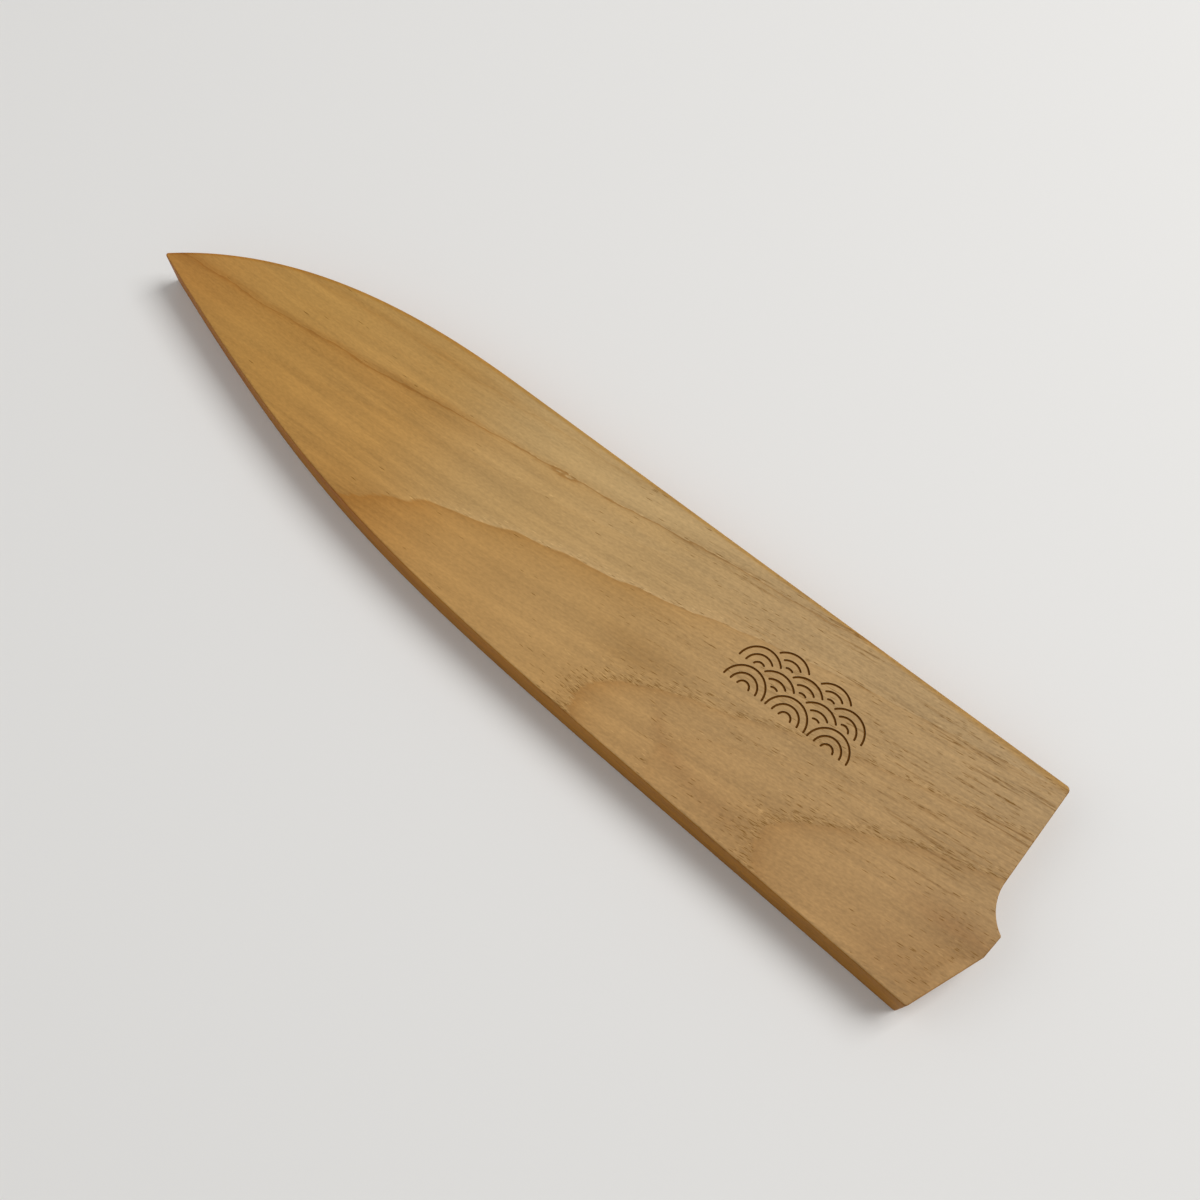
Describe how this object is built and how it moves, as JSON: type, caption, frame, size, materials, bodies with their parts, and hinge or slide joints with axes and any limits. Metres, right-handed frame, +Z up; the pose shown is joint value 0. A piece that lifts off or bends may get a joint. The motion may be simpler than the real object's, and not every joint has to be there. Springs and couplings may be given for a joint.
{
  "type": "knife blade guard",
  "caption": "Flat laminated wooden guard shaped like a cook's knife blade, with a thin slot open at the stepped mouth and an engraved band of wave scales.",
  "frame": {"origin": "below the centre of the guard's bounding box, on the resting face", "axes": "+X runs along the guard from its tip to its mouth, +Y runs from the cutting-edge side to the spine side, +Z is up through the boards"},
  "size_m": [0.226, 0.0524, 0.01],
  "materials": {
    "front_wood": "tan open-grained board, sanded and lightly oiled",
    "back_wood": "tan open-grained board, sanded and lightly oiled",
    "core_wood": "tan strip wood, sanded flush with the boards",
    "magnet_plating": "satin nickel plating"
  },
  "bodies": {
    "root": {"front_board": "front_wood", "back_board": "back_wood", "spine_strip": "core_wood", "edge_strip": "core_wood", "tip_block": "core_wood", "heel_magnet": "magnet_plating", "middle_magnet": "magnet_plating", "tip_magnet": "magnet_plating"}
  },
  "joints": []
}
